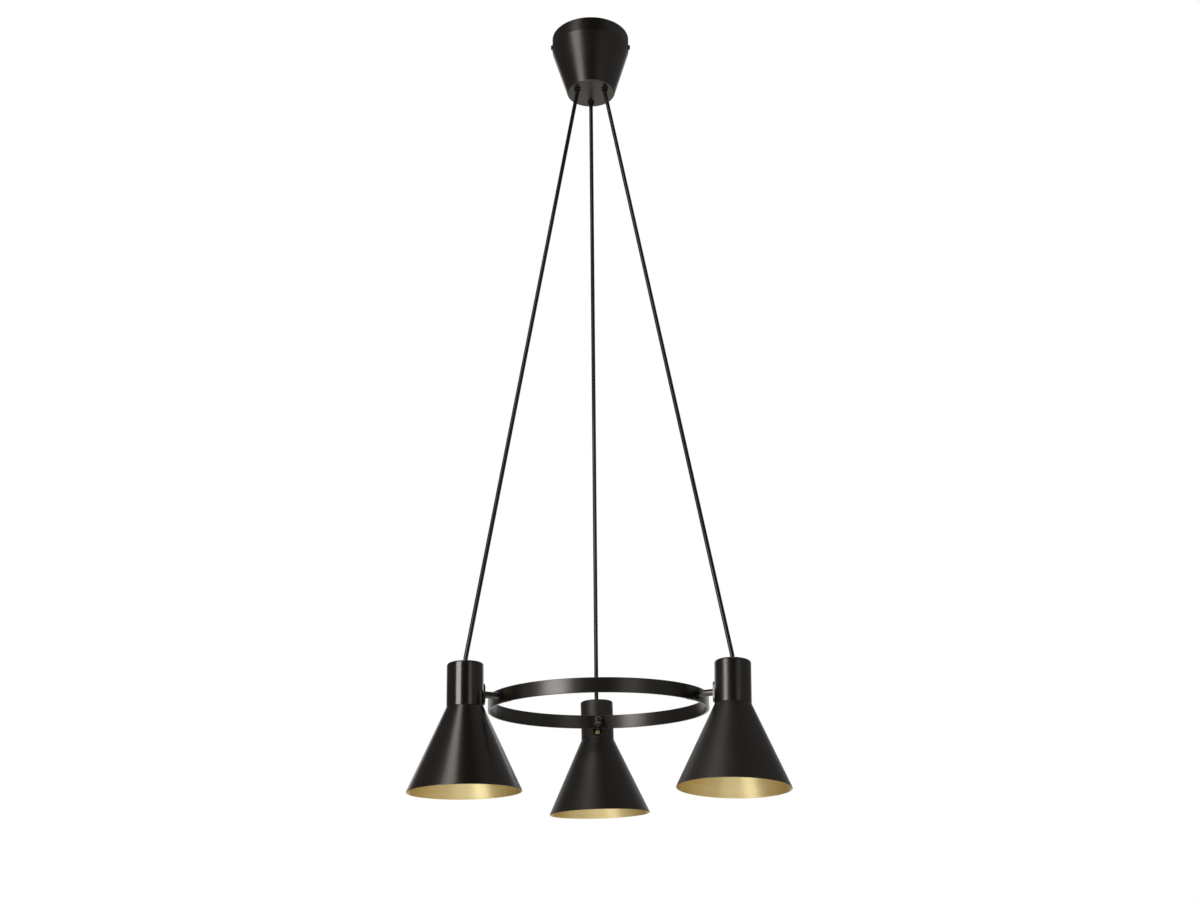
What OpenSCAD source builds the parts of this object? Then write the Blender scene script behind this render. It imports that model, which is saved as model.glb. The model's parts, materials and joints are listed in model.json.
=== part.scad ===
// Ring pendant lamp: cone shades on stems around a flat ring, hung by cords from a ceiling cup.
// Millimetres, +Z up, origin on the ceiling at the middle of the cup.

/* [Ring] */
// Outer diameter of the flat-bar ring
ring_d = 300; // [270:5:330]
// Height of the bar
ring_h = 19; // [17:1:26]
// Thickness of the bar
ring_wall = 3; // [2:0.5:5]
// Chamfer on the edges of the bar
ring_edge = 0.4; // [0.2:0.1:0.8]
// Drop from the ceiling to the middle of the ring
ring_drop = 1068; // [700:4:1500]

/* [Shades] */
// Distance from the lamp's axis to each shade's axis
shade_reach = 200; // [192:1:230]
// Outer diameter of the neck
neck_d = 48; // [47:0.5:56]
// Height of the neck's top above the stem
neck_rise = 38.5; // [34:0.5:50]
// Depth of the neck's foot below the stem
neck_drop = 18.5; // [18:0.5:26]
// Sheet thickness of the neck
neck_wall = 1.2; // [0.8:0.1:1.5]
// Radius on the top edge of the neck
neck_edge_r = 3; // [2:0.5:5]
// Height of the cone below the neck
cone_h = 107; // [80:1:140]
// Outer diameter of the cone's mouth
mouth_d = 147; // [120:1:180]
// Sheet thickness of the cone
cone_wall = 1; // [0.8:0.1:1.5]
// Height of the cone's collar inside the neck
collar_h = 3.5; // [3:0.5:4]
// Turn of the left shade on its stem
left_tilt = 1.5; // [-10:0.5:10]
// Turn of the right shade on its stem
right_tilt = -4.5; // [-10:0.5:10]
// Turn of the back shade on its stem
back_tilt = -1; // [-10:0.5:10]

/* [Pivots] */
// Diameter of the stem
stem_d = 9; // [8.6:0.1:11]
// Diameter of the stem's pin through the ring
pin_d = 8; // [6:0.1:8.4]
// Width of the stem's flange
flange_w = 13; // [11:0.5:16]
// Height of the stem's flange
flange_h = 29; // [28:0.5:30]
// Thickness of the flange at its middle
flange_t = 2; // [1.5:0.1:3]
// Distance between the two flange screws
flange_screw_pitch = 21; // [18:0.5:22]
// Thread diameter of the flange screws
flange_screw_d = 3; // [2.5:0.1:3.5]
// Head diameter of the flange screws
flange_head_d = 6.4; // [5.5:0.1:7]
// Head height of the flange screws
flange_head_h = 2; // [1.5:0.1:2.5]
// Thickness of the curved plate behind the neck wall
plate_t = 2; // [1.2:0.1:2.2]
// Diameter of the friction washers
washer_d = 14; // [12:0.5:16]
// Thickness of the friction washers
washer_t = 1; // [0.6:0.1:1.6]
// Width across the flats of the dome nut
nut_af = 13; // [12:0.5:14]
// Height of the dome nut's hexagon
nut_hex_h = 6.5; // [5:0.5:8]
// Overall height of the dome nut
nut_h = 15; // [13:0.5:17]

/* [Lamp holders] */
// Outer diameter of the holder
holder_d = 39; // [37:0.5:39.5]
// Wall of the holder's cap
holder_wall = 2; // [1.5:0.1:3]
// Height of the holder's body above the shade's seat
body_h = 18; // [16:0.5:20]
// Height of the holder's cap
cap_h = 18; // [16:0.5:20]
// Diameter of the holder's threaded skirt
skirt_d = 35; // [33:0.5:36]
// Length of the threaded skirt
skirt_h = 16; // [13:0.5:18]
// Bore of the screw shell
shell_d = 26.5; // [26:0.1:27]
// Sheet thickness of the screw shell
shell_wall = 0.6; // [0.4:0.1:0.8]
// Length of the screw shell
shell_h = 23; // [20:0.5:24]
// Diameter of the centre contact
contact_d = 8; // [6:0.5:12]
// Height of the centre contact
contact_h = 2.5; // [1.5:0.1:3.5]
// Height of the shade ring
shade_ring_h = 5; // [4:0.5:7]
// Diameter of the terminal head on the holder's body
terminal_d = 24; // [18:1:28]
// Height of the terminal head
terminal_h = 10; // [8:0.5:12]
// Depth of the cord's seat in the terminal head
cord_seat = 6; // [4:0.5:7]
// Thread diameter of the cord gland
gland_d = 10; // [9:0.5:12]
// Diameter of the gland's flange
gland_flange_d = 14; // [13:0.5:20]
// Height of the gland's flange
gland_flange_h = 2.5; // [2:0.5:4]
// Diameter of the holder cap's boss
boss_d = 16; // [15:0.5:20]

/* [Canopy] */
// Diameter of the canopy's rim
canopy_d = 122; // [116:1:140]
// Height from the ceiling to the flat base
canopy_h = 100; // [90:1:130]
// Depth of the upright rim below the ceiling
canopy_rim_h = 22; // [20:1:30]
// Diameter of the flat base
canopy_base_d = 75; // [70:1:90]
// Sheet thickness of the canopy
canopy_wall = 1.2; // [0.8:0.1:2]
// Radius on the edge of the base
canopy_edge_r = 2; // [1:0.5:4]
// Gap between the rim and the ceiling
ceiling_gap = 0.5; // [0.2:0.1:2]
// Thread diameter of the side screws
side_screw_d = 4; // [3:0.5:5]
// Head diameter of the side screws
side_head_d = 8; // [7:0.5:9]
// Head height of the side screws
side_head_h = 2.5; // [2:0.1:3.5]
// Depth of the side screws below the ceiling
side_screw_z = 14; // [12:0.5:15]

/* [Ceiling bracket] */
// Width of the strap
strap_w = 26; // [22:1:32]
// Thickness of the strap
strap_t = 2; // [1.5:0.1:3]
// Length of the turned-down tabs
tab_h = 20; // [19:0.5:22]
// Distance between the ceiling screw slots
slot_pitch = 84; // [82:1:88]
// Length of each slot
slot_len = 12; // [8:0.5:14]
// Width of each slot
slot_w = 5; // [4:0.5:6]
// Diameter of the cable hole
cable_hole_d = 10; // [8:0.5:12]
// Distance of the cable hole and the earth screw from the middle
cable_x = 26; // [25:0.5:27]
// Thread diameter of the earth screw
earth_screw_d = 4; // [3:0.5:5]
// Length of the terminal block
block_l = 36; // [35:0.5:38]
// Width of the terminal block
block_w = 18; // [16:0.5:22]
// Height of the terminal block
block_h = 14; // [12:0.5:18]
// Distance between rows of terminals
row_pitch = 6; // [5:0.1:6.5]
// Distance between columns of terminals
column_pitch = 9; // [8:0.1:9.5]
// Distance between the terminal block's fixing screws
block_screw_pitch = 29; // [28.5:0.1:30]
// Thread diameter of the fixing screws
block_screw_d = 3; // [2.5:0.1:3.5]

/* [Cords] */
// Diameter of the cords
cord_d = 6; // [5.6:0.1:6.2]
// Diameter of the circle of cord holes
cord_circle_d = 50; // [44:1:54]
// Diameter of the cord grips' stems
grip_d = 8.8; // [8.6:0.1:9.4]
// Diameter of the cord grips' flanges
grip_flange_d = 10.6; // [10.3:0.1:12]
// Height of the cord grips' flanges
grip_flange_h = 2.5; // [2:0.1:3.5]
// Length of the cord grips' stems
grip_h = 15; // [13:0.5:18]
// Width across the flats of the grip nuts
grip_nut_af = 12; // [11:0.5:13]
// Height of the grip nuts
grip_nut_h = 4; // [3:0.5:5]
// Thread diameter of the grip screws
grip_screw_d = 3; // [2:0.1:3.5]
// Length of cord above the grips
cord_tail = 5; // [3:0.5:8]
// Diameter of the leads
lead_d = 1.2; // [1:0.1:1.3]

/* [Clearances] */
// Between pieces that turn against each other
run_gap = 0.3; // [0.25:0.05:0.4]
// Radial clearance of the pin in the ring
pin_gap = 0.05; // [0.02:0.01:0.1]
// Radial clearance of a thread
thread_gap = 0.03; // [0.01:0.01:0.05]
// Radial clearance of a through hole
hole_gap = 0.2; // [0.1:0.05:0.25]
// Radial clearance round a cord
cord_gap = 0.3; // [0.25:0.05:0.4]
// Between the end of the screw shell and the centre contact
contact_gap = 0.5; // [0.2:0.1:1]

/* [Hidden] */
SIDES = ["left", "right", "back"];
BEARINGS = [210, 330, 90];
TILTS = [left_tilt, right_tilt, back_tilt];
CANOPY_NODES = [
    "canopy_cup", "ceiling_bracket", "side_screws", "terminal_block", "block_screws", "earth_screw",
    "grip_nuts", "grip_screws", "live_leads", "neutral_leads", "earth_leads", "cord_tops", "ring_band"
];
SIDE_NODES = [
    "cord_grip", "cord", "cone_shade", "neck", "cord_gland", "holder_cap", "holder_body", "screw_shell",
    "centre_contact", "shade_ring", "pivot_stem", "flange_screws", "backing_plate", "pivot_washers",
    "dome_nut"
];
$fn = 96;

LACQUER = "#1f1c19";
BLACK_PLASTIC = "#161616";
CORD_BLACK = "#0e0e0e";
BRASS = "#b8924a";
STEEL = "#b9bcc0";
NATURAL_PLASTIC = "#e8e4d8";

// A cut runs this far past the faces that it opens
CUT = 1;
// Facets of a hexagon and of a cord
HEX = 6;
CORD_SIDES = 8;

// Ring
ring_r = ring_d / 2;
ring_ri = ring_r - ring_wall;

// Distances along a stem, from the shade's axis towards the lamp's axis
neck_r = neck_d / 2;
neck_ri = neck_r - neck_wall;
flange_x = neck_r + flange_t;
shoulder_x = shade_reach - ring_r - run_gap - washer_t;
ring_in_x = shade_reach - sqrt(pow(ring_ri, 2) - pow(washer_d / 2, 2)) + run_gap;
nut_x = ring_in_x + washer_t;
pin_end_x = nut_x + nut_hex_h + 2;
plate_ro = neck_ri - thread_gap;
plate_ri = plate_ro - plate_t;
plate_h = flange_screw_pitch + 2 * flange_screw_d;

// Heights on a shade, from the stem
neck_top_z = neck_rise;
neck_roof_z = neck_top_z - neck_wall;
neck_foot_z = -neck_drop;
mouth_z = neck_foot_z - cone_h;
seat_z = neck_foot_z + collar_h;
body_top_z = seat_z + body_h;
cap_top_z = body_top_z + cap_h;
skirt_z = seat_z - skirt_h;
shell_foot_z = skirt_z + 3;
shell_top_z = shell_foot_z + shell_h;
socket_roof_z = shell_top_z + contact_gap + contact_h;
terminal_z = body_top_z + terminal_h;
cord_foot_z = terminal_z - cord_seat;
gland_top_z = neck_top_z + gland_flange_h;
gland_foot_z = cap_top_z - holder_wall;

// Radii of a shade and its holder
holder_r = holder_d / 2;
skirt_r = skirt_d / 2;
shell_r = shell_d / 2;
shell_ro = shell_r + shell_wall;
collar_r = neck_ri - hole_gap;
collar_ri = collar_r - cone_wall;
shade_ring_r = collar_ri - 0.6;
cord_r = cord_d / 2;
cord_bore_r = cord_r + cord_gap;
cone_slope = (mouth_d / 2 - neck_r) / cone_h;
cone_wall_x = cone_wall * sqrt(1 + pow(cone_slope, 2));
// Depth of the thick shoulder where the cone meets its collar
cone_shoulder = 3;

// Canopy
canopy_r = canopy_d / 2;
canopy_base_r = canopy_base_d / 2;
base_z = -canopy_h;
floor_z = base_z + canopy_wall;
canopy_slope = (canopy_r - canopy_base_r) / (canopy_h - canopy_rim_h);
canopy_lean = atan(canopy_slope);
canopy_wall_x = canopy_wall / cos(canopy_lean);
cord_circle_r = cord_circle_d / 2;
tab_x = sqrt(pow(canopy_r - canopy_wall, 2) - pow(strap_w / 2, 2)) - 0.5;
block_z = -strap_t - block_h;
port_depth = 8;
port_r = lead_d / 2 + 0.3;
port_roof_z = block_z + port_depth;

// Cords and leads
grip_mouth_z = base_z - grip_flange_h;
grip_top_z = base_z + grip_h;
cord_top_z = grip_top_z + cord_tail;
cord_split_z = base_z + 1;
// Height of a cord's bend past the mouth that it leaves, and its reach each way
bend_past = 3;
bend_reach = 6;
// Where the points of a cord's straight run lie, as shares of that run
cord_shares = [0.05, 0.1, 0.2, 0.3, 0.4, 0.5, 0.6, 0.7, 0.8, 0.9, 0.95];
ring_step = 3 * cord_d;
core_pitch = 1.5;
lead_rise = 14;
lead_sides = 6;
lead_step = 8;

// Shape functions
function lerp(a, b, s) = a + (b - a) * s;
function unit(v) = v / norm(v);
function arc(middle, r, from, to, steps = 6) =
    [for (i = [0:steps]) let (a = lerp(from, to, i / steps)) middle + r * [cos(a), sin(a)]];

// A corner between two straight runs, rounded over the same reach on each
function bend(before, corner, after, reach) =
    let (p = corner + reach * unit(before - corner), q = corner + reach * unit(after - corner))
    [for (s = [0:0.25:1]) pow(1 - s, 2) * p + 2 * s * (1 - s) * corner + s * s * q];

// A point on a shade's own axis, at a height from its stem
function shade_point(i, z) =
    let (b = BEARINGS[i], aside = -z * sin(TILTS[i]))
    [
        shade_reach * cos(b) - aside * sin(b),
        shade_reach * sin(b) + aside * cos(b),
        z * cos(TILTS[i]) - ring_drop
    ];

// A point on the axis of a cord hole in the canopy's base
function hole_point(i, z) = [cord_circle_r * cos(BEARINGS[i]), cord_circle_r * sin(BEARINGS[i]), z];

// The route of a cord, from inside its grip to its seat in the lamp holder
function cord_route(i) =
    let (
        top = hole_point(i, cord_split_z),
        high = hole_point(i, grip_mouth_z - bend_past),
        low = shade_point(i, gland_top_z + bend_past),
        foot = shade_point(i, cord_foot_z)
    )
    concat(
        [top],
        bend(top, high, low, bend_reach),
        [for (s = cord_shares) lerp(high, low, s)],
        bend(high, low, foot, bend_reach),
        [foot]
    );

// The route of a lead, from the end of its cord to its port: the rows are live, neutral and earth
function lead_route(i, row) =
    let (
        column = [-1, 1, 0][i],
        start = hole_point(i, cord_top_z) + [0, (row - 1) * core_pitch, 0],
        port = [column * column_pitch, (row - 1) * row_pitch, port_roof_z],
        low = start + [0, 0, lead_rise],
        high = [port[0], port[1], block_z - lead_rise]
    )
    concat([start], bend(start, low, high, bend_reach), bend(low, high, port, bend_reach), [port]);

// Tube swept along a route that never runs level along X
function spaced(route, step) = [
    for (k = [0:len(route) - 2])
        let (a = route[k], b = route[k + 1], parts = max(1, round(norm(b - a) / step)))
        for (j = [0:parts - 1]) lerp(a, b, j / parts),
    route[len(route) - 1]
];

module tube(route, r, sides, step) {
    path = spaced(route, step);
    last = len(path) - 1;
    rings = [
        for (k = [0:last])
            let (
                along = unit(path[min(k + 1, last)] - path[max(k - 1, 0)]),
                v = unit(cross(along, [1, 0, 0])),
                u = cross(v, along)
            )
            for (j = [0:sides - 1]) path[k] + r * (cos(360 * j / sides) * u + sin(360 * j / sides) * v)
    ];
    walls = [
        for (k = [0:last - 1], j = [0:sides - 1])
            let (n = (j + 1) % sides, a = k * sides, b = a + sides)
            each [[a + j, a + n, b + j], [a + n, b + n, b + j]]
    ];
    cap = [for (j = [sides - 1:-1:0]) j];
    end = [for (j = [0:sides - 1]) last * sides + j];
    polyhedron(points = rings, faces = concat(walls, [cap, end]), convexity = 4);
}

// Round bar along Z, from one height to another
module bar(r, z0, z1) {
    translate([0, 0, z0]) cylinder(r = r, h = z1 - z0);
}

// Hollow round bar along Z
module sleeve(r, bore_r, z0, z1) {
    difference() {
        bar(r, z0, z1);
        bar(bore_r, z0 - CUT, z1 + CUT);
    }
}

// Pan-head screw along Z: the head stands on z = 0 and the shank runs down from it
module pan_screw(head_d, head_h, shank_d, shank_l, slot_turn = 0) {
    slot_cut = head_h * 0.5;
    crown_r = head_h * 0.65;
    difference() {
        union() {
            rotate_extrude()
                polygon(concat([[0, 0]], [[head_d / 2, 0]],
                    arc([head_d / 2 - crown_r, head_h - crown_r], crown_r, 0, 90), [[0, head_h]]));
            bar(shank_d / 2, -shank_l, slot_cut / 2);
        }
        rotate([0, 0, slot_turn]) translate([-head_d, -head_d * 0.07, head_h - slot_cut])
            cube([2 * head_d, head_d * 0.14, head_h]);
    }
}

// Places a child in a shade's own frame: its stem along -X, its axis along Z
module at_shade(i) {
    rotate([0, 0, BEARINGS[i]]) translate([shade_reach, 0, -ring_drop]) rotate([TILTS[i], 0, 0]) children();
}

// Turns a child's Z axis along the stem, towards the lamp's axis
module along_stem() {
    rotate([0, -90, 0]) children();
}

// Places a child at each flange screw, head outwards
module at_flange_screws() {
    for (side = [-1, 1]) translate([0, 0, side * flange_screw_pitch / 2]) along_stem() children();
}

// Places a child at a cord hole, with its X axis pointing outwards
module at_cord_hole(i) {
    rotate([0, 0, BEARINGS[i]]) translate([cord_circle_r, 0, 0]) children();
}

// Places a child at both side screws, with its Z axis pointing outwards
module at_side_screws(x) {
    for (turn = [0, 180])
        rotate([0, 0, turn]) translate([x, 0, -side_screw_z]) rotate([0, 90, 0]) children();
}

// Ceiling cup
module canopy_cup() {
    edge_x = canopy_edge_r * tan((90 - canopy_lean) / 2);
    inner_foot_r = canopy_base_r + canopy_wall * canopy_slope - canopy_wall_x;
    color(LACQUER) difference() {
        rotate_extrude() polygon(concat(
            [[0, base_z]],
            arc([canopy_base_r - edge_x, base_z + canopy_edge_r], canopy_edge_r, -90, -canopy_lean),
            [
                [canopy_r, -canopy_rim_h],
                [canopy_r, -ceiling_gap],
                [canopy_r - canopy_wall, -ceiling_gap],
                [canopy_r - canopy_wall, -canopy_rim_h],
                [inner_foot_r, floor_z],
                [0, floor_z]
            ]
        ));
        for (i = [0:2]) at_cord_hole(i) bar(grip_d / 2 + hole_gap, base_z - CUT, floor_z + CUT);
        at_side_screws(canopy_r) bar(side_screw_d / 2 + hole_gap, -canopy_wall - CUT, CUT);
    }
}

// Strap that screws to the ceiling and carries the cup by its tabs
module ceiling_bracket() {
    color(STEEL) difference() {
        union() {
            translate([-tab_x, -strap_w / 2, -strap_t]) cube([2 * tab_x, strap_w, strap_t]);
            for (x = [-tab_x, tab_x - strap_t])
                translate([x, -strap_w / 2, -tab_h]) cube([strap_t, strap_w, tab_h]);
        }
        for (side = [-1, 1]) translate([side * slot_pitch / 2, 0, 0]) slot();
        translate([-cable_x, 0, 0]) bar(cable_hole_d / 2, -strap_t - CUT, CUT);
        translate([cable_x, 0, 0]) bar(earth_screw_d / 2 + thread_gap, -strap_t - CUT, CUT);
        at_block_screws() bar(block_screw_d / 2 + thread_gap, -strap_t - CUT, CUT);
        at_side_screws(tab_x) bar(side_screw_d / 2 + thread_gap, -strap_t - CUT, CUT);
    }
}

module slot() {
    end_x = (slot_len - slot_w) / 2;
    for (side = [-1, 1]) translate([side * end_x, 0, 0]) bar(slot_w / 2, -strap_t - CUT, CUT);
    translate([-end_x, -slot_w / 2, -strap_t - CUT]) cube([2 * end_x, slot_w, strap_t + 2 * CUT]);
}

module side_screws() {
    reach = canopy_r - tab_x + strap_t + 1;
    color(LACQUER) at_side_screws(canopy_r) pan_screw(side_head_d, side_head_h, side_screw_d, reach);
}

module at_block_screws() {
    for (side = [-1, 1]) translate([side * block_screw_pitch / 2, 0, 0]) children();
}

// Block under the strap: a port below for each lead, and the house cable's ports in its back
module terminal_block() {
    supply_r = 1.6;
    supply_z = port_roof_z + (-strap_t - port_roof_z) / 2;
    color(NATURAL_PLASTIC) difference() {
        translate([-block_l / 2, -block_w / 2, block_z]) cube([block_l, block_w, block_h]);
        for (column = [-1:1], row = [-1:1])
            translate([column * column_pitch, row * row_pitch, 0]) bar(port_r, block_z - CUT, port_roof_z);
        for (column = [-1:1])
            translate([column * column_pitch, 0, supply_z]) rotate([-90, 0, 0]) bar(supply_r, 0, block_w);
        at_block_screws() bar(block_screw_d / 2 + hole_gap, block_z - CUT, CUT);
    }
}

module block_screws() {
    color(STEEL) at_block_screws() translate([0, 0, block_z]) rotate([180, 0, 0])
        pan_screw(block_screw_d * 1.8, 2, block_screw_d, block_h + strap_t / 2, 90);
}

module earth_screw() {
    color(BRASS) translate([cable_x, 0, -strap_t]) rotate([180, 0, 0])
        pan_screw(earth_screw_d * 1.8, 2.5, earth_screw_d, strap_t * 0.9);
}

// Bush that clamps a cord in the canopy's base
module cord_grip(i) {
    mouth_r = cord_bore_r + 1;
    color(BLACK_PLASTIC) at_cord_hole(i) difference() {
        union() {
            bar(grip_flange_d / 2, grip_mouth_z, base_z);
            bar(grip_d / 2, grip_mouth_z, grip_top_z);
        }
        bar(cord_bore_r, grip_mouth_z - CUT, grip_top_z + CUT);
        translate([0, 0, grip_mouth_z]) cylinder(r1 = mouth_r, r2 = cord_bore_r, h = 1.5);
        grip_screw_hole() bar(grip_screw_d / 2 + thread_gap, 0, grip_d);
    }
}

// Places a child on the grip screw's axis, pointing outwards from the cord
module grip_screw_hole() {
    translate([0, 0, grip_top_z - grip_screw_d]) rotate([0, 90, 0]) children();
}

module grip_nuts() {
    color(BLACK_PLASTIC) for (i = [0:2]) at_cord_hole(i) difference() {
        translate([0, 0, floor_z]) cylinder(d = grip_nut_af / cos(180 / HEX), h = grip_nut_h, $fn = HEX);
        bar(grip_d / 2 + thread_gap, floor_z - CUT, floor_z + grip_nut_h + CUT);
    }
}

module grip_screws() {
    tip = cord_r + 0.1;
    slot_w = grip_screw_d * 0.2;
    end = grip_d / 2 + 2.5;
    color(BLACK_PLASTIC) for (i = [0:2]) at_cord_hole(i) grip_screw_hole() difference() {
        bar(grip_screw_d / 2, tip, end);
        translate([-slot_w / 2, -grip_screw_d, end - slot_w]) cube([slot_w, 2 * grip_screw_d, grip_screw_d]);
    }
}

module leads(row) {
    for (i = [0:2]) tube(lead_route(i, row), lead_d / 2, lead_sides, lead_step);
}

module live_leads() {
    color("saddlebrown") leads(0);
}

module neutral_leads() {
    color("royalblue") leads(1);
}

module earth_leads() {
    color("yellowgreen") leads(2);
}

// The stretches of cord that the grips hold, up to where the leads come out
module cord_tops() {
    color(CORD_BLACK) for (i = [0:2])
        tube([hole_point(i, cord_top_z), hole_point(i, cord_split_z)], cord_r, CORD_SIDES, ring_step);
}

module cord(i) {
    color(CORD_BLACK) tube(cord_route(i), cord_r, CORD_SIDES, ring_step);
}

// Flat-bar ring, drilled for the stems
module ring_band() {
    half = ring_h / 2;
    color(LACQUER) translate([0, 0, -ring_drop]) difference() {
        rotate_extrude() polygon([
            [ring_ri + ring_edge, -half], [ring_r - ring_edge, -half],
            [ring_r, ring_edge - half], [ring_r, half - ring_edge],
            [ring_r - ring_edge, half], [ring_ri + ring_edge, half],
            [ring_ri, half - ring_edge], [ring_ri, ring_edge - half]
        ]);
        for (b = BEARINGS) rotate([0, 90, b]) bar(pin_d / 2 + pin_gap, ring_ri - ring_wall, ring_r + ring_wall);
    }
}

// Spun cone with a collar that slips into the neck and a seat that the shade ring clamps
module cone_shade() {
    inner_top_r = neck_r + cone_shoulder * cone_slope - cone_wall_x;
    seat_r = skirt_r + cord_gap;
    color(LACQUER) rotate_extrude() polygon([
        [seat_r, seat_z], [collar_r, seat_z], [collar_r, neck_foot_z], [neck_r, neck_foot_z],
        [mouth_d / 2, mouth_z], [mouth_d / 2 - cone_wall_x, mouth_z],
        [inner_top_r, neck_foot_z - cone_shoulder], [collar_ri, neck_foot_z - cone_shoulder / 2],
        [collar_ri, seat_z - cone_wall], [seat_r, seat_z - cone_wall]
    ]);
}

// Spun neck, closed at the top
module neck() {
    inner_edge_r = neck_edge_r - neck_wall;
    gland_hole_r = gland_d / 2 + hole_gap;
    color(LACQUER) difference() {
        rotate_extrude() polygon(concat(
            [[neck_ri, neck_foot_z], [neck_r, neck_foot_z]],
            arc([neck_r - neck_edge_r, neck_top_z - neck_edge_r], neck_edge_r, 0, 90),
            [[gland_hole_r, neck_top_z], [gland_hole_r, neck_roof_z]],
            arc([neck_r - neck_edge_r, neck_top_z - neck_edge_r], inner_edge_r, 90, 0)
        ));
        at_flange_screws() bar(flange_screw_d / 2 + hole_gap, neck_ri - CUT, neck_r + CUT);
    }
}

// Threaded bush that the cord comes out of; it clamps the neck to the holder
module cord_gland() {
    mouth_r = cord_bore_r + 1;
    color(BLACK_PLASTIC) difference() {
        union() {
            bar(gland_flange_d / 2, neck_top_z, gland_top_z);
            bar(gland_d / 2, gland_foot_z, gland_top_z);
        }
        bar(cord_bore_r, gland_foot_z - CUT, gland_top_z + CUT);
        translate([0, 0, gland_top_z - 1.5]) cylinder(r1 = cord_bore_r, r2 = mouth_r, h = 1.5);
    }
}

module holder_cap() {
    gland_bore_r = gland_d / 2 + thread_gap;
    edge_r = 2;
    color(BLACK_PLASTIC) rotate_extrude() polygon(concat(
        [[holder_r - holder_wall, body_top_z], [holder_r, body_top_z]],
        arc([holder_r - edge_r, cap_top_z - edge_r], edge_r, 0, 90),
        [
            [boss_d / 2, cap_top_z], [boss_d / 2, neck_roof_z],
            [gland_bore_r, neck_roof_z], [gland_bore_r, cap_top_z - holder_wall],
            [holder_r - holder_wall, cap_top_z - holder_wall]
        ]
    ));
}

// Insulating body: terminal head above, shade seat, threaded skirt below
module holder_body() {
    bore_r = shell_ro + thread_gap;
    color(BLACK_PLASTIC) difference() {
        union() {
            bar(holder_r, seat_z, body_top_z);
            bar(skirt_r, skirt_z, body_top_z);
            bar(terminal_d / 2, body_top_z, terminal_z);
        }
        bar(bore_r, skirt_z - CUT, socket_roof_z);
        bar(cord_r + thread_gap, cord_foot_z - hole_gap, terminal_z + CUT);
    }
}

module screw_shell() {
    color(BRASS) sleeve(shell_ro, shell_r, shell_foot_z, shell_top_z);
}

module centre_contact() {
    edge = contact_h * 0.4;
    color(BRASS) rotate_extrude() polygon([
        [0, socket_roof_z - contact_h], [contact_d / 2 - edge, socket_roof_z - contact_h],
        [contact_d / 2, socket_roof_z - contact_h + edge], [contact_d / 2, socket_roof_z], [0, socket_roof_z]
    ]);
}

// Ring nut on the skirt that clamps the cone's seat
module shade_ring() {
    top_z = seat_z - cone_wall;
    color(BLACK_PLASTIC) sleeve(shade_ring_r, skirt_r + thread_gap, top_z - shade_ring_h, top_z);
}

// Stem with a saddle flange on the neck and a threaded pin through the ring
module pivot_stem() {
    end_z = (flange_h - flange_w) / 2;
    color(LACQUER) difference() {
        union() {
            along_stem() {
                bar(stem_d / 2, neck_ri, shoulder_x);
                bar(pin_d / 2, neck_ri, pin_end_x);
            }
            for (side = [-1, 1])
                translate([0, 0, side * end_z]) along_stem() bar(flange_w / 2, neck_ri, flange_x);
            translate([-flange_x, -flange_w / 2, -end_z]) cube([flange_x - neck_ri, flange_w, 2 * end_z]);
        }
        bar(neck_r + thread_gap, -flange_h, flange_h);
        at_flange_screws() bar(flange_screw_d / 2 + hole_gap, neck_ri, flange_x + CUT);
    }
}

module flange_screws() {
    color(BRASS) at_flange_screws() translate([0, 0, flange_x])
        pan_screw(flange_head_d, flange_head_h, flange_screw_d, flange_x - plate_ri);
}

// Curved plate inside the neck that the flange screws thread into
module backing_plate() {
    color(STEEL) difference() {
        intersection() {
            sleeve(plate_ro, plate_ri, -plate_h / 2, plate_h / 2);
            translate([-neck_r, -flange_w / 2, -plate_h / 2]) cube([neck_r, flange_w, plate_h]);
        }
        at_flange_screws() bar(flange_screw_d / 2 + thread_gap, 0, neck_r);
    }
}

// Friction washers on both faces of the ring
module pivot_washers() {
    color(BLACK_PLASTIC) along_stem() for (x = [shoulder_x, ring_in_x])
        sleeve(washer_d / 2, pin_d / 2 + pin_gap, x, x + washer_t);
}

module dome_nut() {
    dome_r = nut_af / 2 - 0.3;
    corner_r = nut_af / 2 / cos(180 / HEX);
    chamfer = (corner_r - dome_r) * tan(30);
    color(LACQUER) along_stem() difference() {
        union() {
            intersection() {
                translate([0, 0, nut_x]) cylinder(r = corner_r, h = nut_hex_h, $fn = HEX);
                translate([0, 0, nut_x]) rotate_extrude() polygon([
                    [0, 0], [dome_r, 0], [corner_r, chamfer],
                    [corner_r, nut_hex_h - chamfer], [dome_r, nut_hex_h], [0, nut_hex_h]
                ]);
            }
            rotate_extrude() polygon(concat(
                [[0, nut_x + nut_hex_h / 2], [dome_r, nut_x + nut_hex_h / 2]],
                arc([0, nut_x + nut_h - dome_r], dome_r, 0, 90, 8)
            ));
        }
        bar(pin_d / 2 + thread_gap, nut_x - CUT, pin_end_x + CUT);
    }
}

canopy_cup();
ceiling_bracket();
side_screws();
terminal_block();
block_screws();
earth_screw();
grip_nuts();
grip_screws();
live_leads();
neutral_leads();
earth_leads();
cord_tops();
ring_band();
for (i = [0:2]) {
    cord_grip(i);
    cord(i);
    at_shade(i) cone_shade();
    at_shade(i) neck();
    at_shade(i) cord_gland();
    at_shade(i) holder_cap();
    at_shade(i) holder_body();
    at_shade(i) screw_shell();
    at_shade(i) centre_contact();
    at_shade(i) shade_ring();
    at_shade(i) pivot_stem();
    at_shade(i) flange_screws();
    at_shade(i) backing_plate();
    at_shade(i) pivot_washers();
    at_shade(i) dome_nut();
}
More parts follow.
